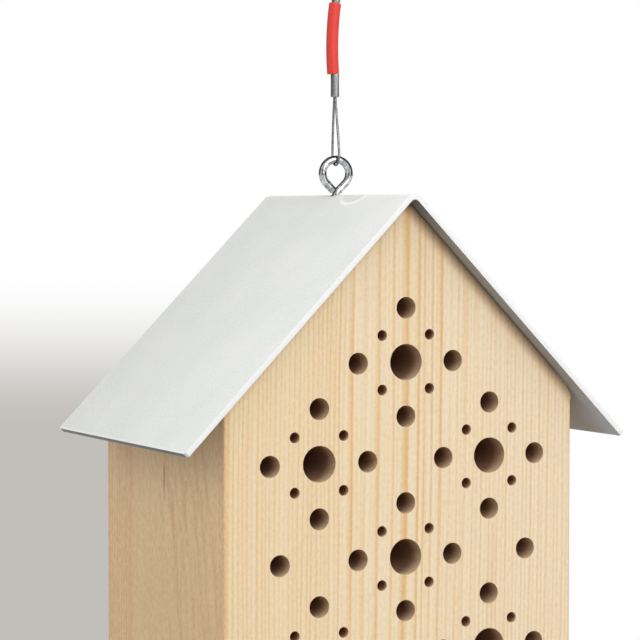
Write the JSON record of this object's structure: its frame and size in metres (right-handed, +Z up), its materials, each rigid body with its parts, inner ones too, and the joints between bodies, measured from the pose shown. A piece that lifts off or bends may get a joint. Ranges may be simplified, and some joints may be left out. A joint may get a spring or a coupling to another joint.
{
  "type": "hanging bee hotel",
  "caption": "Gabled wooden block drilled with blind nesting holes of three sizes, under a bent metal roof, hung by a screw eye from a short looped wire rope.",
  "frame": {"origin": "top inside of the upper rope loop, where it bears on the nail or hook", "axes": "+Z up along the hanging line, -Y towards the drilled front, +X to the right seen from the front"},
  "size_m": [0.1386, 0.088, 0.2778],
  "materials": {
    "wood": "planed, bare",
    "roof_sheet": "satin, off-white",
    "steel": "zinc plated",
    "ferrule": "satin",
    "sleeve": "satin"
  },
  "bodies": {
    "hanger": {"hanging_cable": "steel", "lower_ferrule": "ferrule", "upper_ferrule": "ferrule", "cable_sleeve": "sleeve"},
    "house": {"nest_block": "wood", "roof_sheet": "roof_sheet", "screw_eye": "steel"}
  },
  "joints": [
    {"name": "swing", "type": "hinge", "parent": "hanger", "child": "house", "pos_m": [0, 0, -0.076], "axis": [1, 0, 0], "range_deg": [-90, 90]}
  ]
}
